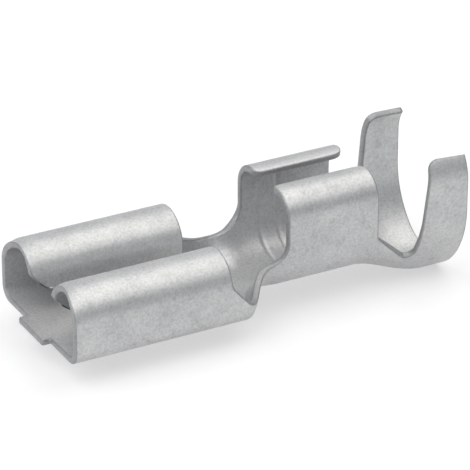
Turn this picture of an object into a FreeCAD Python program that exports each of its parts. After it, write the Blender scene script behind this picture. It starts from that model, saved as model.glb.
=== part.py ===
import FreeCAD, Part
import math
import os

os.makedirs("parts", exist_ok=True)

V = FreeCAD.Vector

# One strip of tinned brass, stamped and folded. X runs from the mouth to the wire end,
# Z is up, and the part is the same on both sides of the XZ plane.

# Driving sizes, mm
sheet = 0.32
box_width = 7.70
box_height = 3.37
box_corner = 0.72
roll_radius = 1.44
roll_end = 7.77
roll_setback = 0.16
roll_front_rise = 1.70
lip_gap = 0.88
lip_lead_radius = 2.00
lip_lead_end = 2.00
mouth_lead = 0.28
mouth_lead_depth = 0.03
tongue_width = 2.50
tongue_length = 0.42
tongue_corner = 0.12

neck_start = 8.60
waist_x = 10.45
waist_width = 4.56
waist_flat = 0.56
neck_front_height = 2.05
neck_front_fillet = 0.70
neck_dip_x = 8.96
neck_dip_height = 0.68
neck_dip_fillet = 0.82
neck_rear_height = 2.23
neck_rear_fillet = 1.00

wire_width = 4.94
wire_flat = 0.74
wire_height = 5.01
wire_start = 11.31
wire_end = 15.99
tip_radius = 1.25
tip_gap = 1.44
tip_corner_front = 0.45
tip_corner_rear = 0.60
groove_count = 4
groove_width = 0.18
groove_depth = 0.05
groove_top = 3.55

ear_width = 6.56
ear_flat = 0.16
ear_floor_radius = 2.75
ear_height = 5.52
ear_rear_height = 5.42
ear_curl_rise = 1.32
ear_curl_radius = 2.10
ear_drop = 1.12
drop_start = 15.20
drop_end = 19.00
ear_front_x = 18.32
ear_top_corner = 0.52
notch_start_height = 1.95
notch_low_x = 17.73
notch_low_height = 0.18
notch_fillet = 0.31
total_end = 20.21

# Sizes that follow from the driving ones
box_half = box_width / 2
roll_y = box_half - roll_radius
roll_z = box_height - roll_radius
lip_y = box_half - 2 * roll_radius
lip_z = sheet + lip_gap
wire_half = wire_width / 2
tip_z = wire_height - tip_radius
tip_angle = math.degrees(math.acos((tip_gap / 2 - (wire_half - tip_radius)) / tip_radius))
ear_half = ear_width / 2
ear_curl_z = ear_height - ear_curl_rise
ear_curl_angle = math.degrees(math.asin((ear_curl_rise + sheet) / ear_curl_radius))
clear = 2.0


def line(a, b):
    return Part.LineSegment(V(*a), V(*b)).toShape()


def arc_edge(center, radius_y, radius_z, start, end, x):
    """Arc in the plane X = x, with angles in degrees from +Y towards +Z."""
    points = []
    for angle in (start, (start + end) / 2, end):
        turn = math.radians(angle)
        points.append(V(x, center[0] + radius_y * math.cos(turn), center[1] + radius_z * math.sin(turn)))
    return Part.Arc(*points).toShape()


def corner_edges(x, half, flat, floor_radius, bottom, depth_y, depth_z):
    """Floor to wall in two arcs that meet at 45 degrees, at a depth inside the outer face."""
    share = math.sin(math.pi / 4)
    wall_radius = (half - flat - floor_radius * share) / (1 - share)
    wall_center = (half - wall_radius, bottom + floor_radius + (wall_radius - floor_radius) * share)
    return [
        arc_edge((flat, bottom + floor_radius), floor_radius - depth_y, floor_radius - depth_z, -90, -45, x),
        arc_edge(wall_center, wall_radius - depth_y, wall_radius - depth_z, -45, 0, x),
    ]


def prism(edges, length):
    face = Part.Face(Part.Wire(edges))
    return face.extrude(V(length, 0, 0))


def both_sides(half):
    other = half.mirror(V(0, 0, 0), V(0, 1, 0))
    return half.fuse(other)


def rounded_outline(corners):
    """Closed wire in the XZ plane through (x, z, radius) corners."""
    edges = []
    starts = []
    ends = []
    arcs = []
    count = len(corners)
    for i in range(count):
        x, z, radius = corners[i]
        here = V(x, 0, z)
        before = V(corners[i - 1][0], 0, corners[i - 1][1])
        after = V(corners[(i + 1) % count][0], 0, corners[(i + 1) % count][1])
        to_before = (before - here).normalize()
        to_after = (after - here).normalize()
        if radius == 0:
            starts.append(here)
            ends.append(here)
            arcs.append(None)
            continue
        half_angle = to_before.getAngle(to_after) / 2
        back = radius / math.tan(half_angle)
        middle = (to_before + to_after).normalize()
        center = here + middle * (radius / math.sin(half_angle))
        start = here + to_before * back
        end = here + to_after * back
        starts.append(start)
        ends.append(end)
        arcs.append(Part.Arc(start, center - middle * radius, end).toShape())
    for i in range(count):
        if arcs[i] is not None:
            edges.append(arcs[i])
        edges.append(Part.LineSegment(ends[i], starts[(i + 1) % count]).toShape())
    return Part.Wire(edges)


def side_window(corners):
    """Solid that cuts the side view outline through both walls."""
    face = Part.Face(rounded_outline(corners))
    face.translate(V(0, -box_width, 0))
    return face.extrude(V(0, 2 * box_width, 0))


# Receptacle: floor, rounded corners, walls and the two rolls that press on the tab
def box_half_section(x):
    inner = roll_radius - sheet
    flat = box_half - box_corner
    return [
        line((x, 0, 0), (x, flat, 0)),
        arc_edge((flat, box_corner), box_corner, box_corner, -90, 0, x),
        line((x, box_half, box_corner), (x, box_half, roll_z)),
        arc_edge((roll_y, roll_z), roll_radius, roll_radius, 0, 180, x),
        line((x, lip_y, roll_z), (x, lip_y, lip_z)),
        line((x, lip_y, lip_z), (x, lip_y + sheet, lip_z)),
        line((x, lip_y + sheet, lip_z), (x, lip_y + sheet, roll_z)),
        arc_edge((roll_y, roll_z), inner, inner, 180, 0, x),
        line((x, box_half - sheet, roll_z), (x, box_half - sheet, box_corner)),
        arc_edge((flat, box_corner), box_corner - sheet, box_corner - sheet, -90, 0, x),
        line((x, flat, sheet), (x, 0, sheet)),
        line((x, 0, sheet), (x, 0, 0)),
    ]


receptacle = both_sides(prism(box_half_section(0), neck_start))

# The rolls stand back from the mouth, and their front edge sweeps forward down the walls
roll_rise = box_height - roll_front_rise
sweep_radius = (roll_setback ** 2 + roll_rise ** 2) / (2 * roll_setback)
sweep = Part.makeBox(clear + roll_setback, box_width, box_height,
                     V(-clear, -box_half, roll_front_rise))
sweep_curve = Part.makeCylinder(sweep_radius, box_width, V(sweep_radius, -box_half, roll_front_rise), V(0, 1, 0))
receptacle = receptacle.cut(sweep.cut(sweep_curve))
setback = Part.makeBox(clear + roll_setback, 2 * roll_y, box_height, V(-clear, -roll_y, lip_z - lip_gap / 2))
receptacle = receptacle.cut(setback)

# Rounded front corners of the two lips, which lead the tab in
lead = Part.makeBox(lip_lead_end + clear, 2 * roll_y, lip_lead_radius + lip_gap / 2,
                    V(-clear, -roll_y, lip_z - lip_gap / 2))
lead_curve = Part.makeCylinder(lip_lead_radius, 2 * roll_y,
                               V(lip_lead_end, -roll_y, lip_z + lip_lead_radius), V(0, 1, 0))
receptacle = receptacle.cut(lead.cut(lead_curve))

# Coined lead on the floor at the mouth
lead_face = Part.Face(Part.makePolygon([
    V(-clear, 0, sheet - mouth_lead_depth * (1 + clear / mouth_lead)),
    V(mouth_lead, 0, sheet),
    V(-clear, 0, sheet + mouth_lead_depth),
    V(-clear, 0, sheet - mouth_lead_depth * (1 + clear / mouth_lead)),
]))
lead_width = box_width - 2 * box_corner
lead_face.translate(V(0, -lead_width / 2, 0))
receptacle = receptacle.cut(lead_face.extrude(V(0, lead_width, 0)))

# Short tongue left where the strip was cut off
tongue = Part.makeBox(tongue_length + sheet, tongue_width, sheet - mouth_lead_depth,
                      V(-tongue_length, -tongue_width / 2, 0))
upright = [edge for edge in tongue.Edges
           if abs(edge.Vertexes[0].X + tongue_length) < 1e-6 and abs(edge.Vertexes[1].X + tongue_length) < 1e-6
           and abs(edge.Vertexes[0].Y - edge.Vertexes[1].Y) < 1e-6]
tongue = tongue.makeFillet(tongue_corner, upright)


# Necks between the folded zones: each section keeps the sheet thickness square to the wall
def eased(x, start, end):
    """Smooth share of the way from start to end, and its slope."""
    share = min(max((x - start) / (end - start), 0.0), 1.0)
    return share * share * (3 - 2 * share), 6 * share * (1 - share) / (end - start)


def lofted(section, start, end):
    stations = 5
    wires = [Part.Wire(section(start + (end - start) * i / stations)) for i in range(stations + 1)]
    return both_sides(Part.makeLoft(wires, True, False))


def neck_section(x, start, end, first, last):
    """Half section on the way between two (half width, half floor) pairs, with walls up to the curl."""
    share, slope = eased(x, start, end)
    half = first[0] + (last[0] - first[0]) * share
    flat = first[1] + (last[1] - first[1]) * share
    corner = half - flat
    depth = sheet * math.sqrt(1 + ((last[0] - first[0]) * slope) ** 2)
    return [
        line((x, 0, 0), (x, flat, 0)),
        arc_edge((flat, corner), corner, corner, -90, 0, x),
        line((x, half, corner), (x, half, tip_z)),
        line((x, half, tip_z), (x, half - depth, tip_z)),
        line((x, half - depth, tip_z), (x, half - depth, corner)),
        arc_edge((flat, corner), corner - depth, corner - sheet, -90, 0, x),
        line((x, flat, sheet), (x, 0, sheet)),
        line((x, 0, sheet), (x, 0, 0)),
    ]


# The box narrows to a waist, which opens again into the wire barrel
box_pair = (box_half, box_half - box_corner)
waist_pair = (waist_width / 2, waist_flat / 2)
wire_pair = (wire_half, wire_flat / 2)
shoulder = lofted(lambda x: neck_section(x, neck_start, waist_x, box_pair, waist_pair), neck_start, waist_x)
throat = lofted(lambda x: neck_section(x, waist_x, wire_start, waist_pair, wire_pair), waist_x, wire_start)


# Both barrels: a deep trough whose walls end in a curl. Towards the wire end the trough
# gets wider and its floor drops.
def barrel_section(x, curl_z, curl_radius, curl_angle, outer_depth, inner_depth):
    """Half section between two depths measured from the outside of the sheet."""
    spread, spread_slope = eased(x, wire_end, drop_end)
    drop, drop_slope = eased(x, drop_start, drop_end)
    half = wire_half + (ear_half - wire_half) * spread
    flat = (wire_flat + (ear_flat - wire_flat) * spread) / 2
    wire_corner = (wire_width - wire_flat) / 2
    floor_radius = wire_corner + (ear_floor_radius - wire_corner) * spread
    bottom = -ear_drop * drop
    over_y = math.sqrt(1 + ((ear_half - wire_half) * spread_slope) ** 2)
    over_z = math.sqrt(1 + (ear_drop * drop_slope) ** 2)
    curl_center = (half - curl_radius, curl_z)
    faces = []
    for depth in (outer_depth, inner_depth):
        depth_y = depth * over_y
        depth_z = depth * over_z
        low = (x, flat, bottom + depth_z)
        corner = corner_edges(x, half, flat, floor_radius, bottom, depth_y, depth_z)
        curl = arc_edge(curl_center, curl_radius - depth_y, curl_radius - depth_y, 0, curl_angle, x)
        wall = Part.LineSegment(corner[1].lastVertex().Point, curl.firstVertex().Point).toShape()
        faces.append([line((x, 0, bottom + depth_z), low), *corner, wall, curl])
    outer, inner = faces
    tip = Part.LineSegment(outer[-1].lastVertex().Point, inner[-1].lastVertex().Point).toShape()
    middle = line((x, 0, bottom + inner_depth * over_z), (x, 0, bottom + outer_depth * over_z))
    return [*outer, tip, *reversed(inner), middle]


def wire_section(x, outer_depth=0.0, inner_depth=sheet):
    return barrel_section(x, tip_z, tip_radius, tip_angle, outer_depth, inner_depth)


def ear_section(x):
    return barrel_section(x, ear_curl_z, ear_curl_radius, ear_curl_angle, 0.0, sheet)


# Wire barrel, whose wings curl in at the top
wire_barrel = both_sides(prism(wire_section(wire_start), drop_start - wire_start))


def tip_corner_cutter(x, direction, radius):
    """Rounds one corner of a curled wing, seen from above."""
    y = tip_gap / 2
    block = Part.makeBox(radius + clear, radius + y, 2 * tip_radius,
                         V(min(x + direction * radius, x - direction * clear), 0, tip_z))
    post = Part.makeCylinder(radius, 2 * tip_radius, V(x + direction * radius, y + radius, tip_z))
    return both_sides(block.cut(post))


# Grip grooves round the inside of the wire barrel, evenly spaced between its two ends
groove_pitch = (wire_end - wire_start) / (groove_count + 1)
for i in range(groove_count):
    groove_x = wire_start + groove_pitch * (i + 1) - groove_width / 2
    groove = both_sides(prism(wire_section(groove_x, sheet - groove_depth, sheet + groove_depth), groove_width))
    above = Part.makeBox(groove_width, wire_width, wire_height, V(groove_x, -wire_half, groove_top))
    wire_barrel = wire_barrel.cut(groove.cut(above))

wire_barrel = wire_barrel.fuse(lofted(wire_section, drop_start, wire_end))
wire_barrel = wire_barrel.cut(tip_corner_cutter(wire_start, 1, tip_corner_front))
wire_barrel = wire_barrel.cut(tip_corner_cutter(wire_end, -1, tip_corner_rear))

# Insulation barrel: a wider, lower trough with two upright ears
straight_ears = both_sides(prism(ear_section(drop_end), total_end - drop_end))
rear = lofted(ear_section, wire_end, drop_end).fuse(straight_ears)

# Openings in the side view
sky = 2 * ear_height
neck_window = side_window([
    (roll_end, sky, 0),
    (roll_end, neck_front_height, neck_front_fillet),
    (neck_dip_x, neck_dip_height, neck_dip_fillet),
    (wire_start, neck_rear_height, neck_rear_fillet),
    (wire_start, sky, 0),
])
notch_window = side_window([
    (wire_end, sky, 0),
    (wire_end, notch_start_height, 0),
    (notch_low_x, notch_low_height, notch_fillet),
    (ear_front_x, ear_height, ear_top_corner),
    (total_end, ear_rear_height, 0),
    (total_end + clear, ear_rear_height, 0),
    (total_end + clear, sky, 0),
])
receptacle = receptacle.cut(neck_window)
shoulder = shoulder.cut(neck_window)
throat = throat.cut(neck_window)
rear = rear.cut(notch_window)

terminal = receptacle.fuse([tongue, shoulder, throat, wire_barrel, rear]).removeSplitter()
if terminal.ShapeType == "Compound" and len(terminal.Solids) == 1:
    terminal = terminal.Solids[0]

terminal.exportStep("parts/terminal.step")
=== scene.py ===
import math

import bmesh
import bpy
import numpy as np
from mathutils import Matrix, Vector


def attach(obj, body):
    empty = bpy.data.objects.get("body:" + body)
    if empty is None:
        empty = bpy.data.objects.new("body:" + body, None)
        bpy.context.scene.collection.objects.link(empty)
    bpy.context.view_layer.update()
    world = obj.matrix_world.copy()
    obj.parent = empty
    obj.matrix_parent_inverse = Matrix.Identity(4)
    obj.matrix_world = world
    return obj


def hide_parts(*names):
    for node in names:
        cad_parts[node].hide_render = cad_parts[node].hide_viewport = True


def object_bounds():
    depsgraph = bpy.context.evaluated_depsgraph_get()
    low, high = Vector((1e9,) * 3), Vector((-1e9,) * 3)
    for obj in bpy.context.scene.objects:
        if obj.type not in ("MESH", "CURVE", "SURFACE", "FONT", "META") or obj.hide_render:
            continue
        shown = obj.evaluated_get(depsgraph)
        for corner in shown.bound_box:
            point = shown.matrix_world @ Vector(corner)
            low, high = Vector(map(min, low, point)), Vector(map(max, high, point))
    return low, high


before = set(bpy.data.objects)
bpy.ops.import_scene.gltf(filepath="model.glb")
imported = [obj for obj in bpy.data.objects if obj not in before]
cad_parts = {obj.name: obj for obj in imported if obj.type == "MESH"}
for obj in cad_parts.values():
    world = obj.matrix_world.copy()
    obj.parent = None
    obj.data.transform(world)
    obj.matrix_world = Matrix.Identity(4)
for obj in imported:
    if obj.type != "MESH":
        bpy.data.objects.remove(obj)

cad_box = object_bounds()

# The flat blank. The terminal is one strip of brass, 0.32 mm thick and tinned, that a press tool
# cuts to this outline before any fold is made. X runs from the mouth to the wire end and the
# other direction is the length across the strip. Sizes in this section are in millimetres.
sheet = 0.32
rear_end = 20.21
wing_ends = (11.31, 15.99)
flare_end = 19.00

# Cross sections of box, waist, wire barrel and insulation barrel, the stretches of X over which
# each changes to the next, and the drop of the floor. The corner from floor to wall is two arcs
# that meet at 45 degrees, where sine and cosine are both "joint"
half_widths = (3.85, 2.28, 2.47, 3.28)
half_flats = (3.13, 0.28, 0.37, 0.08)
floor_radii = (0.72, 2.00, 2.10, 2.75)
changes = ((8.60, 10.45), (10.45, wing_ends[0]), (wing_ends[1], flare_end))
drop_depth = 1.12
drop_stretch = (15.20, flare_end)
joint = math.sqrt(0.5)

# The folds of roll, wing and ear over the walls, and the stations between their zones
fold_heights = (1.93, 3.76, 4.20)
fold_radii = (1.44, 1.25, 2.10)
fold_borders = (9.50, 16.80)
wing_turn = math.radians(113.6)

# Outlines cut through the walls, as corners of X, height on the folded wall and radius. The
# neck's runs out above everything else
clear_height = 9.00
roll_end = 7.77
neck_outline = [(roll_end, clear_height, 0), (roll_end, 2.05, 0.70), (8.96, 0.68, 0.82),
                (wing_ends[0], 2.23, 1.00), (wing_ends[0], clear_height, 0)]
notch_outline = [(wing_ends[1], 1.95, 0), (17.73, 0.18, 0.31), (18.32, 5.52, 0.52),
                 (rear_end, 5.42, 0)]
arc_steps = 16


def ease(x, start, end):
    share = min(max((x - start) / (end - start), 0.0), 1.0)
    return share * share * (3 - 2 * share)


def along(levels, x):
    value = levels[0]
    for before, after, stretch in zip(levels, levels[1:], changes):
        value += (after - before) * ease(x, *stretch)
    return value


def floor_height(x):
    return -drop_depth * ease(x, *drop_stretch)


def fold_at(x):
    zone = sum(x > border for border in fold_borders)
    return fold_heights[zone], fold_radii[zone]


def developed(x, z):
    """Length across the blank from its centre line to height z on the folded wall's outside."""
    flat = along(half_flats, x)
    floor_radius = along(floor_radii, x)
    wall_radius = (along(half_widths, x) - flat - floor_radius * joint) / (1 - joint)
    above_floor = z - floor_height(x)
    joint_rise = floor_radius * (1 - joint)
    corner_rise = joint_rise + wall_radius * joint
    if above_floor < joint_rise:
        return flat + floor_radius * math.acos(1 - above_floor / floor_radius)
    length = flat + (floor_radius - wall_radius) * math.pi / 4
    if above_floor < corner_rise:
        return length + wall_radius * math.acos(joint - (above_floor - joint_rise) / wall_radius)
    fold_height, radius = fold_at(x)
    wall_rise = min(above_floor, fold_height - floor_height(x))
    length += wall_radius * math.pi / 2 + wall_rise - corner_rise
    return length + radius * math.asin(min(max(z - fold_height, 0) / radius, 1))


def developed_to_turn(x, angle):
    """Length across the blank to a point of the fold, by the angle turned since the wall."""
    fold_height, radius = fold_at(x)
    return developed(x, fold_height) + radius * angle


def rounded(corners):
    """Points along an outline of (x, z, radius) corners, and the place of each arc's middle."""
    points = [corners[0][:2]]
    middles = []
    for (x0, z0, _), (x1, z1, radius), (x2, z2, _) in zip(corners, corners[1:], corners[2:]):
        here = Vector((x1, z1))
        to_last = (Vector((x0, z0)) - here).normalized()
        to_next = (Vector((x2, z2)) - here).normalized()
        half_angle = to_last.angle(to_next) / 2
        center = here + (to_last + to_next).normalized() * radius / math.sin(half_angle)
        start = here + to_last * radius / math.tan(half_angle) - center
        end = here + to_next * radius / math.tan(half_angle) - center
        middles.append(len(points) + arc_steps // 2)
        for i in range(arc_steps + 1):
            points.append(tuple(center + start.slerp(end, i / arc_steps).normalized() * radius))
    points.append(corners[-1][:2])
    return np.array(points), middles


def on_blank(points):
    return np.array([(x, developed(x, z)) for x, z in points])


# The blank's faces lie in patches: a band through the whole strip, and the rolls, wings and ears
# on it. Each outline is split where the band meets them
neck_points, neck_middles = rounded(neck_outline)
neck_split = neck_middles[0] + arc_steps // 2
barrel_split = neck_middles[2] - arc_steps // 4
notch_points, notch_middles = rounded(notch_outline)
ear_split = notch_middles[0] + arc_steps // 4
ear_corner_split = notch_middles[1]
x_neck, z_neck = neck_points[neck_split]
x_barrel, z_barrel = neck_points[barrel_split]
x_ear, z_ear = notch_points[ear_split]
neck_curve = neck_points[neck_split:barrel_split + 1]
notch_curve = notch_points[:ear_split + 1]
ear_top_curve = notch_points[ear_corner_split:]


def band_edge(x):
    """Outer edge of the band that runs through the whole strip, under rolls, wings and ears."""
    if x <= x_neck:
        return developed(x_neck, z_neck)
    if x <= x_barrel:
        return developed(x, np.interp(x, neck_curve[:, 0], neck_curve[:, 1]))
    if x <= wing_ends[1]:
        share = (x - x_barrel) / (wing_ends[1] - x_barrel)
        first = developed(x_barrel, z_barrel)
        last = developed(wing_ends[1], notch_outline[0][1])
        return first + (last - first) * share
    if x <= x_ear:
        return developed(x, np.interp(x, notch_curve[:, 0], notch_curve[:, 1]))
    return developed(x, z_ear)


def stations(start, end, step):
    count = max(int(round((end - start) / step)), 1)
    return [start + (end - start) * i / count for i in range(count)]


# Rows of faces along X, closer where the strip bends, and at both flanks of each grip groove
groove_count = 2
groove_pitch = 0.936
groove_half = 0.06
groove_flank = 0.03
groove_rows = [wing_ends[0] + groove_pitch * (i + 1) + direction * (groove_half + past_floor)
               for i in range(groove_count)
               for direction in (-1, 1)
               for past_floor in (0, groove_flank)]
curve_step = 0.075
barrel_step = 0.16
box_rows = [0, 0.10, 0.20, 0.30, 0.40, 0.50, 0.65, 0.9, 1.2, 1.6, 2.0, 2.31]
box_rows += stations(2.7, 7.3, 0.35) + [7.3, 7.55, 7.75, 7.86]
neck_rows = stations(x_neck, x_barrel, curve_step)
barrel_rows = [x for x in stations(x_barrel, 15.72, barrel_step)
               if min(abs(x - row) for row in groove_rows) > barrel_step / 4]
barrel_rows = sorted(barrel_rows + groove_rows) + [15.78, 15.88]
notch_rows = stations(wing_ends[1], x_ear, curve_step)
ear_rows = stations(x_ear, 19.9, 0.11) + [19.9, 20.00, 20.10, rear_end]
band_rows = box_rows + neck_rows + barrel_rows + notch_rows + ear_rows

# The tongue is the stub left at the mouth where the strip was cut from the next one. The band's
# inner columns run on into it, and its two outer corners are a little rounded
tongue_length = 0.42
tongue_half = 1.25
tongue_corner = 0.12
tongue_columns = 9
band_columns = 42
tongue_share = tongue_half / band_edge(0)
band_shares = list(np.linspace(0, tongue_share, tongue_columns + 1))
band_shares += list(np.linspace(tongue_share, 1, band_columns - tongue_columns + 1))[1:]
patches = [[[(x, band_edge(x) * share) for share in band_shares] for x in band_rows]]
tongue = []
for x in (-tongue_length, -0.34, -0.25, -0.12, 0.0):
    in_corner = tongue_corner - min(x + tongue_length, tongue_corner)
    half = tongue_half - tongue_corner + math.sqrt(tongue_corner ** 2 - in_corner ** 2)
    tongue.append([(x, half * share / tongue_share) for share in band_shares[:tongue_columns + 1]])
patches.append(tongue)

past_every_edge = 1000.0


def wing_patch(rows, columns, front_edge, rear_edge, top_edge, fade):
    """A roll, wing or ear of the blank, from the band's edge to its own free edge.

    The rows nearest to its front and rear lean with those edges and straighten within the fade.
    An edge that is asked past its tip gives the tip's X.
    """
    tops = []
    for x in rows:
        x_top = x
        x_top += (front_edge(past_every_edge) - rows[0]) * (1 - ease(x, rows[0], rows[0] + fade))
        x_top += (rear_edge(past_every_edge) - rows[-1]) * ease(x, rows[-1] - fade, rows[-1])
        tops.append(top_edge(x_top))
    heights = np.linspace(0, 1, columns + 1)
    front_low, rear_low = band_edge(rows[0]), band_edge(rows[-1])
    grid = []
    for x, top in zip(rows, tops):
        low = band_edge(x)
        line = []
        for height in heights:
            front = front_edge(front_low + (tops[0] - front_low) * height)
            rear = rear_edge(rear_low + (tops[-1] - rear_low) * height)
            moved = x + (front - rows[0]) * (1 - ease(x, rows[0], rows[0] + fade))
            moved += (rear - rows[-1]) * ease(x, rows[-1] - fade, rows[-1])
            line.append((moved, low + (top - low) * height))
        grid.append(line)
    return grid


def cut_edge(points):
    """X of a cut edge at a length across the blank."""
    edge = np.array(points)
    return lambda length: float(np.interp(length, edge[:, 1], edge[:, 0]))


# Roll of the receptacle: its front stands back a little from the mouth, and the lip's front
# corner is cut on a long curve that leads the tab in
mouth_sweep = 0.16
lip_height = 1.20
lip_lead_end = 2.00
lip_lead_radius = 2.00


def lip_length(z):
    """Length across the blank to height z on the inner side of the roll."""
    from_end = math.asin(min(max(z - fold_heights[0], 0) / fold_radii[0], 1))
    return developed_to_turn(0, math.pi - from_end) + max(fold_heights[0] - z, 0)


def roll_top(x):
    before_lead_end = max(lip_lead_end - x, 0)
    lead_rise = lip_lead_radius - math.sqrt(lip_lead_radius ** 2 - before_lead_end ** 2)
    return lip_length(lip_height + lead_rise)


sweep_start = band_edge(0)
sweep_length = developed(0, fold_heights[0] + fold_radii[0]) - sweep_start
sweep = [(mouth_sweep * share ** 2, sweep_start + sweep_length * share)
         for share in np.linspace(0, 1, 9)]
lead_split = lip_lead_end - lip_lead_radius * joint
lip_lead = [(x, roll_top(x)) for x in np.linspace(mouth_sweep, lead_split, 12)]
roll_rear = on_blank(neck_points[:neck_split + 1])[::-1]
patches.append(wing_patch(
    box_rows + [x_neck], columns=56, front_edge=cut_edge(sweep + lip_lead),
    rear_edge=cut_edge(roll_rear), top_edge=roll_top, fade=1.6))

# Wing of the wire barrel: it curls in at the top, and the corners of its tip are rounded
wing_corners = (0.45, 0.60)


def wing_tip(x):
    length = developed_to_turn(x, wing_turn)
    for end, corner in zip(wing_ends, wing_corners):
        inside = max(corner - abs(x - end), 0)
        length -= corner - math.sqrt(max(corner ** 2 - inside ** 2, 0))
    return length


def tip_corner(end, corner, direction):
    """The half of a tip corner that belongs to the wing's front or rear edge."""
    tip = developed_to_turn(end, wing_turn)
    return [(end + direction * corner * (1 - math.cos(angle)), tip - corner * (1 - math.sin(angle)))
            for angle in np.linspace(0, math.pi / 4, 7)]


wing_front = list(on_blank(neck_points[barrel_split:-1]))
wing_front += tip_corner(wing_ends[0], wing_corners[0], 1)
wing_rear = tip_corner(wing_ends[1], wing_corners[1], -1)
patches.append(wing_patch(
    barrel_rows + [wing_ends[1]], columns=38, front_edge=cut_edge(wing_front),
    rear_edge=cut_edge(wing_rear), top_edge=wing_tip, fade=1.1))


# Ear of the insulation barrel: it leans back a little, and only its front top corner is rounded
def ear_top(x):
    return developed(x, np.interp(x, ear_top_curve[:, 0], ear_top_curve[:, 1]))


ear_front = on_blank(notch_points[ear_split:ear_corner_split + 1])
ear_rear = [(rear_end, 0), (rear_end, past_every_edge)]
patches.append(wing_patch(
    ear_rows, columns=40, front_edge=cut_edge(ear_front),
    rear_edge=cut_edge(ear_rear), top_edge=ear_top, fade=1.6))

blank_mesh = bmesh.new()
for patch in patches:
    for direction in (1, -1):
        made = [[blank_mesh.verts.new((x, direction * length, 0)) for x, length in line]
                for line in patch]
        for before, after in zip(made, made[1:]):
            for i in range(len(before) - 1):
                corners = (before[i], after[i], after[i + 1], before[i + 1])
                blank_mesh.faces.new(corners[::-direction])
bmesh.ops.remove_doubles(blank_mesh, verts=blank_mesh.verts, dist=1e-5)

# The bevel that rounds the cut edges later reads this weight: 1 on the outline, 0 inside it
cut_weight = blank_mesh.edges.layers.float.new("bevel_weight_edge")
for edge in blank_mesh.edges:
    edge[cut_weight] = float(edge.is_boundary)
blank_data = bpy.data.meshes.new("blank")
blank_mesh.to_mesh(blank_data)
blank_mesh.free()
strip = bpy.data.objects.new("folded_strip", blank_data)
bpy.context.scene.collection.objects.link(strip)
strip.vertex_groups.new(name="gauge")


# Tinned brass. The plating is matte tin: a fine grain of crystals with soft clouds from the
# bath. Handling has left a few dull spots on it, and the cut edges are plated as well. The cut
# edges get a darker copy of the tin: painted shade that draws a thin dark line along them.
def wired(tree, kind, inputs, **settings):
    """A node with its settings and inputs, each a number or another node's socket."""
    node = tree.nodes.new(kind)
    for name, value in settings.items():
        setattr(node, name, value)
    for name, value in inputs.items():
        if isinstance(value, bpy.types.NodeSocket):
            tree.links.new(value, node.inputs[name])
        else:
            node.inputs[name].default_value = value
    return node


plating = bpy.data.node_groups.new("tin_plating", "ShaderNodeTree")
plating_scales = {"Grain per metre": 9000.0, "Clouds per metre": 700.0, "Spots per metre": 2600.0}
for name, usual in plating_scales.items():
    scale_socket = plating.interface.new_socket(name, in_out="INPUT", socket_type="NodeSocketFloat")
    scale_socket.default_value = usual
for name in ("Tone", "Dullness", "Height"):
    plating.interface.new_socket(name, in_out="OUTPUT", socket_type="NodeSocketFloat")
plating_sizes = plating.nodes.new("NodeGroupInput").outputs
plating_result = plating.nodes.new("NodeGroupOutput").inputs
plating_place = plating.nodes.new("ShaderNodeTexCoord").outputs["Object"]


def plating_noise(scale, detail, roughness):
    noise = wired(plating, "ShaderNodeTexNoise", {
        "Vector": plating_place, "Scale": plating_sizes[scale],
        "Detail": detail, "Roughness": roughness})
    return noise.outputs["Fac"]


def plating_calc(operation, *values):
    return wired(plating, "ShaderNodeMath", dict(enumerate(values)), operation=operation).outputs[0]


grain_share = 0.62
contrast = 2.6
spot_shade = 0.30
spot_dullness = 0.35
grain = plating_noise("Grain per metre", 2.0, 0.6)
clouds = plating_noise("Clouds per metre", 3.0, 0.55)
spots = wired(plating, "ShaderNodeMapRange", {
    "Value": plating_noise("Spots per metre", 3.0, 0.6),
    "From Min": 0.56, "From Max": 0.72}).outputs[0]
mixed = plating_calc("MULTIPLY", clouds, 1 - grain_share)
mixed = plating_calc("MULTIPLY_ADD", grain, grain_share, mixed)
spread = plating_calc("MULTIPLY_ADD", plating_calc("SUBTRACT", mixed, 0.5), contrast, 0.5)
tone = plating_calc("SUBTRACT", spread, plating_calc("MULTIPLY", spots, spot_shade))
dullness = plating_calc("SUBTRACT", 0.75, plating_calc("MULTIPLY", spread, 0.5))
dullness = plating_calc("MULTIPLY_ADD", spots, spot_dullness, dullness)
relief = plating_calc("MULTIPLY_ADD", clouds, 0.5, grain)
plating.links.new(tone, plating_result["Tone"])
plating.links.new(dullness, plating_result["Dullness"])
plating.links.new(relief, plating_result["Height"])


def tin(name, dark, light, glossy, dull, bump_height):
    """Tin between two tones and two roughnesses. It is matte, so it is only half metallic."""
    material = bpy.data.materials.new(name)
    material.use_nodes = True
    tree = material.node_tree
    surface = tree.nodes["Principled BSDF"]
    surface.inputs["Metallic"].default_value = 0.52
    grown = wired(tree, "ShaderNodeGroup", {}, node_tree=plating).outputs
    shade = wired(tree, "ShaderNodeValToRGB", {"Fac": grown["Tone"]})
    shade.color_ramp.elements[0].color = (*dark, 1)
    shade.color_ramp.elements[1].color = (*light, 1)
    tree.links.new(shade.outputs["Color"], surface.inputs["Base Color"])
    gloss = wired(tree, "ShaderNodeMapRange", {
        "Value": grown["Dullness"], "To Min": glossy, "To Max": dull})
    tree.links.new(gloss.outputs[0], surface.inputs["Roughness"])
    bump = wired(tree, "ShaderNodeBump", {
        "Strength": 1.0, "Distance": bump_height, "Height": grown["Height"]})
    tree.links.new(bump.outputs[0], surface.inputs["Normal"])
    return material


tin_face = tin("tin_face", dark=(0.52, 0.523, 0.53), light=(0.755, 0.755, 0.75),
               glossy=0.34, dull=0.52, bump_height=0.000004)
# Darker copy of the tin for the cut edges and their bevels: painted shade, a thin dark outline
painted_shade_tin_edge = tin("tin_cut_edge_painted_shade", dark=(0.33, 0.335, 0.34), light=(0.48, 0.48, 0.48),
               glossy=0.42, dull=0.60, bump_height=0.000006)
blank_data.materials.append(tin_face)
blank_data.materials.append(painted_shade_tin_edge)

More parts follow.
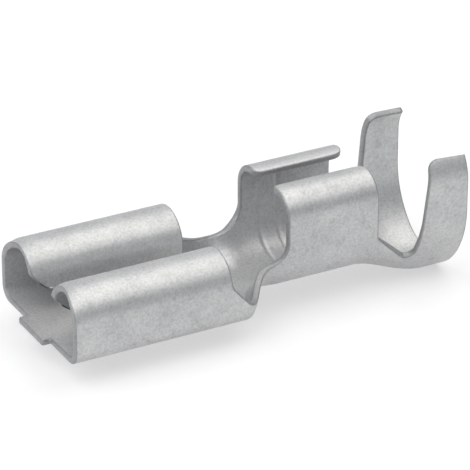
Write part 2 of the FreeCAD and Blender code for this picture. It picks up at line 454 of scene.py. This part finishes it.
# The fold. Press tools bend the blank about lines along X: the floor stays flat, both corners
# and walls turn up, and the rolls, wings and ears curl in over them. One rule places each
# point of the blank from its distance across the strip.
zones = ("Box", "Waist", "Wire barrel", "Insulation barrel")
zone_changes = ("Shoulder", "Throat", "Flare")
fold_sizes = {}
for zone, width, flat, radius in zip(zones, half_widths, half_flats, floor_radii):
    fold_sizes[zone + " half width"] = width
    fold_sizes[zone + " half floor"] = flat
    fold_sizes[zone + " floor radius"] = radius
for change, stretch in zip(zone_changes, changes):
    fold_sizes[change + " start"] = stretch[0]
    fold_sizes[change + " end"] = stretch[1]
for zone, height, radius in zip(("Roll", "Wing", "Ear"), fold_heights, fold_radii):
    fold_sizes[zone + " fold height"] = height
    fold_sizes[zone + " fold radius"] = radius
fold_sizes["Wing zone start"] = fold_borders[0]
fold_sizes["Ear zone start"] = fold_borders[1]
fold_sizes["Drop"] = drop_depth
fold_sizes["Drop start"] = drop_stretch[0]
fold_sizes["Drop end"] = drop_stretch[1]
fold_sizes["Mouth tuck"] = 0.15
fold_sizes["Mouth tuck length"] = 0.60
fold_sizes["Groove start"] = wing_ends[0]
fold_sizes["Groove pitch"] = groove_pitch
fold_sizes["Groove count"] = groove_count
fold_sizes["Groove half width"] = groove_half + groove_flank / 2
fold_sizes["Groove depth"] = 0.025 / sheet
fold_sizes["Groove top"] = 3.55
fold_sizes["Mouth lead"] = 0.28
fold_sizes["Mouth lead depth"] = 0.03 / sheet

fold = bpy.data.node_groups.new("fold", "GeometryNodeTree")
fold.interface.new_socket("Geometry", in_out="INPUT", socket_type="NodeSocketGeometry")
fold.interface.new_socket("Geometry", in_out="OUTPUT", socket_type="NodeSocketGeometry")
for name, value in fold_sizes.items():
    size_socket = fold.interface.new_socket(name, in_out="INPUT", socket_type="NodeSocketFloat")
    size_socket.default_value = value
given = fold.nodes.new("NodeGroupInput").outputs
folded = fold.nodes.new("NodeGroupOutput").inputs


def calc(operation, *values):
    return wired(fold, "ShaderNodeMath", dict(enumerate(values)), operation=operation).outputs[0]


def eased(value, start, end):
    node = wired(fold, "ShaderNodeMapRange", {"Value": value, "From Min": start, "From Max": end},
                 interpolation_type="SMOOTHSTEP")
    return node.outputs[0]


def stepped(first, others, steps):
    """The first value, moved to each next one by its step from 0 to 1."""
    value = first
    before = first
    for after, step in zip(others, steps):
        value = calc("MULTIPLY_ADD", calc("SUBTRACT", after, before), step, value)
        before = after
    return value


blank_place = fold.nodes.new("GeometryNodeInputPosition").outputs[0]
blank_axes = wired(fold, "ShaderNodeSeparateXYZ", {"Vector": blank_place}).outputs
station = blank_axes["X"]
side = calc("SIGN", blank_axes["Y"])
across = calc("ABSOLUTE", blank_axes["Y"])
zone_steps = [eased(station, given[change + " start"], given[change + " end"])
              for change in zone_changes]


def zone_size(name):
    first, *others = [given[zone + name] for zone in zones]
    return stepped(first, others, zone_steps)


half_width = zone_size(" half width")
half_floor = zone_size(" half floor")
floor_radius = zone_size(" floor radius")
floor_level = calc("MULTIPLY", calc("MULTIPLY", given["Drop"], -1.0),
                   eased(station, given["Drop start"], given["Drop end"]))
past_borders = [calc("GREATER_THAN", station, given["Wing zone start"]),
                calc("GREATER_THAN", station, given["Ear zone start"])]
fold_height = stepped(given["Roll fold height"],
                      [given["Wing fold height"], given["Ear fold height"]], past_borders)
fold_radius = stepped(given["Roll fold radius"],
                      [given["Wing fold radius"], given["Ear fold radius"]], past_borders)

# Lengths of the two arcs of the corner and of the wall, and how much of each a point has passed
joint_reach = calc("MULTIPLY_ADD", floor_radius, joint, half_floor)
wall_radius = calc("DIVIDE", calc("SUBTRACT", half_width, joint_reach), 1 - joint)
floor_arc = calc("MULTIPLY", floor_radius, math.pi / 4)
wall_arc = calc("MULTIPLY", wall_radius, math.pi / 4)
corner_level = calc("MULTIPLY_ADD", wall_radius, joint, floor_level)
corner_level = calc("MULTIPLY_ADD", floor_radius, 1 - joint, corner_level)
wall_length = calc("SUBTRACT", fold_height, corner_level)
on_floor = calc("MINIMUM", across, half_floor)
past_floor = calc("SUBTRACT", across, on_floor)
on_floor_arc = calc("MINIMUM", past_floor, floor_arc)
past_joint = calc("SUBTRACT", past_floor, on_floor_arc)
on_wall_arc = calc("MINIMUM", past_joint, wall_arc)
past_corner = calc("SUBTRACT", past_joint, on_wall_arc)
on_wall = calc("MINIMUM", past_corner, wall_length)
past_wall = calc("SUBTRACT", past_corner, on_wall)
on_turn = calc("MINIMUM", past_wall, calc("MULTIPLY", fold_radius, math.pi))
on_lip = calc("SUBTRACT", past_wall, on_turn)
floor_angle = calc("DIVIDE", on_floor_arc, floor_radius)
wall_angle = calc("ADD", calc("DIVIDE", on_wall_arc, wall_radius), math.pi / 4)
turn_angle = calc("DIVIDE", on_turn, fold_radius)

# Reach is the distance from the centre plane and level is the height. At the mouth the rolls are
# tucked down a little
turned_back = calc("SUBTRACT", 1.0, calc("COSINE", turn_angle))
reach = calc("MULTIPLY_ADD", floor_radius, calc("SINE", floor_angle), on_floor)
reach = calc("MULTIPLY_ADD", wall_radius, calc("SUBTRACT", calc("SINE", wall_angle), joint), reach)
reach = calc("SUBTRACT", reach, calc("MULTIPLY", fold_radius, turned_back))
floor_arc_rise = calc("SUBTRACT", 1.0, calc("COSINE", floor_angle))
wall_arc_rise = calc("SUBTRACT", joint, calc("COSINE", wall_angle))
level = calc("MULTIPLY_ADD", floor_radius, floor_arc_rise, floor_level)
level = calc("MULTIPLY_ADD", wall_radius, wall_arc_rise, level)
level = calc("ADD", level, on_wall)
level = calc("MULTIPLY_ADD", fold_radius, calc("SINE", turn_angle), level)
level = calc("SUBTRACT", level, on_lip)
tuck = calc("MULTIPLY", given["Mouth tuck"], eased(station, given["Mouth tuck length"], 0.0))
level = calc("SUBTRACT", level, calc("MULTIPLY", tuck, calc("SINE", turn_angle)))
place = wired(fold, "ShaderNodeCombineXYZ", {
    "X": station, "Y": calc("MULTIPLY", side, reach), "Z": level})
bent = wired(fold, "GeometryNodeSetPosition", {
    "Geometry": given["Geometry"], "Position": place.outputs[0]})

# Gauge: the share of the sheet's thickness that is left under the grip grooves, which the tool
# rolls across the inside of the wire barrel, and on the coined lead at the mouth
pitches = calc("DIVIDE", calc("SUBTRACT", station, given["Groove start"]), given["Groove pitch"])
from_line = calc("ABSOLUTE", calc("SUBTRACT", pitches, calc("ROUND", pitches)))
from_line = calc("MULTIPLY", from_line, given["Groove pitch"])
in_groove = calc("LESS_THAN", from_line, given["Groove half width"])
past_first = calc("GREATER_THAN", pitches, 0.5)
before_last = calc("LESS_THAN", pitches, calc("ADD", given["Groove count"], 0.5))
grooved = calc("MULTIPLY", in_groove, calc("MULTIPLY", past_first, before_last))
below_top = calc("LESS_THAN", calc("ADD", on_wall, corner_level), given["Groove top"])
groove = calc("MULTIPLY", grooved, calc("MULTIPLY", below_top, given["Groove depth"]))
on_flat = calc("LESS_THAN", across, given["Box half floor"])
past_mouth = calc("DIVIDE", calc("MAXIMUM", station, 0.0), given["Mouth lead"])
coined = calc("SUBTRACT", 1.0, calc("MINIMUM", 1.0, past_mouth))
lead = calc("MULTIPLY", calc("MULTIPLY", on_flat, given["Mouth lead depth"]), coined)
gauge = calc("SUBTRACT", calc("SUBTRACT", 1.0, groove), lead)
stored = wired(fold, "GeometryNodeStoreNamedAttribute", {
    "Geometry": bent.outputs[0], "Name": "gauge", "Value": gauge},
    data_type="FLOAT", domain="POINT")
joined = wired(fold, "GeometryNodeRealizeInstances", {"Geometry": stored.outputs[0]})
dressed = wired(fold, "GeometryNodeSetMaterial", {
    "Geometry": joined.outputs[0], "Material": tin_face})
fold.links.new(dressed.outputs[0], folded[0])

bend = strip.modifiers.new("fold", "NODES")
bend.node_group = fold
for item in fold.interface.items_tree:
    if item.in_out == "INPUT" and item.name in fold_sizes:
        bend[item.identifier] = float(fold_sizes[item.name])
thick = strip.modifiers.new("sheet", "SOLIDIFY")
thick.thickness = sheet
thick.offset = -1
thick.use_even_offset = True
thick.use_quality_normals = True
thick.vertex_group = "gauge"
# The rim faces take the darker edge tin, which is painted shade along the cut edges
thick.material_offset_rim = 1
worn = strip.modifiers.new("cut_edge", "BEVEL")
worn.width = 0.075
worn.segments = 3
worn.limit_method = "WEIGHT"
worn.use_clamp_overlap = False
# The bevel faces take the darker edge tin too, as painted shade along the cut edges
worn.material = 1
strip.modifiers.new("shading", "WEIGHTED_NORMAL").keep_sharp = True

shapes = bpy.context.evaluated_depsgraph_get()
strip_mesh = bpy.data.meshes.new_from_object(
    strip.evaluated_get(shapes), preserve_all_data_layers=True, depsgraph=shapes)
strip_mesh.transform(Matrix.Scale(0.001, 4))
strip_mesh.polygons.foreach_set("use_smooth", [True] * len(strip_mesh.polygons))
strip.modifiers.clear()
strip.data = strip_mesh
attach(strip, "root")
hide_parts("terminal")

# Stage: a white table in a dim room. The table looks white to the camera and in the metal, and
# it keeps the part's shadow. Sizes from here on are in metres.
table_half = 2
table_level = cad_box[0].z
table_glow = 0.52
table_corners = [(x, y, table_level) for x, y in (
    (-table_half, -table_half), (table_half, -table_half),
    (table_half, table_half), (-table_half, table_half))]
table_mesh = bpy.data.meshes.new("table")
table_mesh.from_pydata(table_corners, [], [(0, 1, 2, 3)])
table = bpy.data.objects.new("table", table_mesh)
bpy.context.scene.collection.objects.link(table)
table_paint = bpy.data.materials.new("table_white")
table_paint.use_nodes = True
paint_nodes = table_paint.node_tree
paint = paint_nodes.nodes["Principled BSDF"]
paint.inputs["Base Color"].default_value = (0.5, 0.5, 0.5, 1)
paint.inputs["Roughness"].default_value = 0.9
rays = paint_nodes.nodes.new("ShaderNodeLightPath").outputs
seen = wired(paint_nodes, "ShaderNodeMath", {
    0: rays["Is Camera Ray"], 1: rays["Is Glossy Ray"]}, operation="MAXIMUM")
seen = wired(paint_nodes, "ShaderNodeMath", {
    0: seen.outputs[0], 1: rays["Is Transmission Ray"]}, operation="MAXIMUM")
whitening = wired(paint_nodes, "ShaderNodeMath", {
    0: seen.outputs[0], 1: table_glow}, operation="MULTIPLY")
glow = wired(paint_nodes, "ShaderNodeEmission", {
    "Color": (1, 1, 1, 1), "Strength": whitening.outputs[0]})
added = wired(paint_nodes, "ShaderNodeAddShader", {0: paint.outputs[0], 1: glow.outputs[0]})
paint_nodes.links.new(added.outputs[0], paint_nodes.nodes["Material Output"].inputs["Surface"])
table_mesh.materials.append(table_paint)

room = bpy.data.worlds.new("room")
bpy.context.scene.world = room
room.use_nodes = True
room.node_tree.nodes["Background"].inputs["Color"].default_value = (0.163, 0.184, 0.218, 1)


# Soft boxes: a long one overhead draws the highlights along the rolls, one to the left lights
# the walls' ends and the mouth, and a weak one behind shows in the floor and the tops
def soft_box(name, place, size, power, color):
    lamp_data = bpy.data.lights.new(name, "AREA")
    lamp_data.shape = "RECTANGLE"
    lamp_data.size = size[0]
    lamp_data.size_y = size[1]
    lamp_data.energy = power
    lamp_data.color = color
    lamp = bpy.data.objects.new(name, lamp_data)
    lamp.location = place
    aim = Vector((0.010, 0, 0.002)) - Vector(place)
    lamp.rotation_euler = aim.to_track_quat("-Z", "Y").to_euler()
    bpy.context.scene.collection.objects.link(lamp)


soft_box("top_soft_box", place=(0.13, -0.045, 0.30), size=(0.52, 0.25),
         power=0.67, color=(1.0, 0.975, 0.91))
soft_box("left_soft_box", place=(-0.19, -0.01, 0.26), size=(0.36, 0.36),
         power=0.84, color=(1.0, 0.99, 0.97))
soft_box("rear_soft_box", place=(0.21, 0.39, 0.23), size=(0.60, 0.40),
         power=0.24, color=(1.0, 0.98, 0.93))

# Camera at the photograph's angle, worked out from the part's known edges
azimuth = math.radians(-28.095)
elevation = math.radians(27.206)
camera_place = (-0.053992, -0.119656, 0.072190)
right = Vector((math.cos(azimuth), math.sin(azimuth), 0))
back = Vector((math.sin(azimuth) * math.cos(elevation),
               -math.cos(azimuth) * math.cos(elevation),
               math.sin(elevation)))
up = back.cross(right)
camera_data = bpy.data.cameras.new("camera")
camera_data.sensor_width = 36
camera_data.lens = 257.98
camera_data.clip_start = 0.01
camera = bpy.data.objects.new("camera", camera_data)
turned = Matrix((right, up, back)).transposed().to_4x4()
camera.matrix_world = Matrix.Translation(camera_place) @ turned
bpy.context.scene.collection.objects.link(camera)
bpy.context.scene.camera = camera
bpy.context.scene.view_settings.view_transform = "Standard"
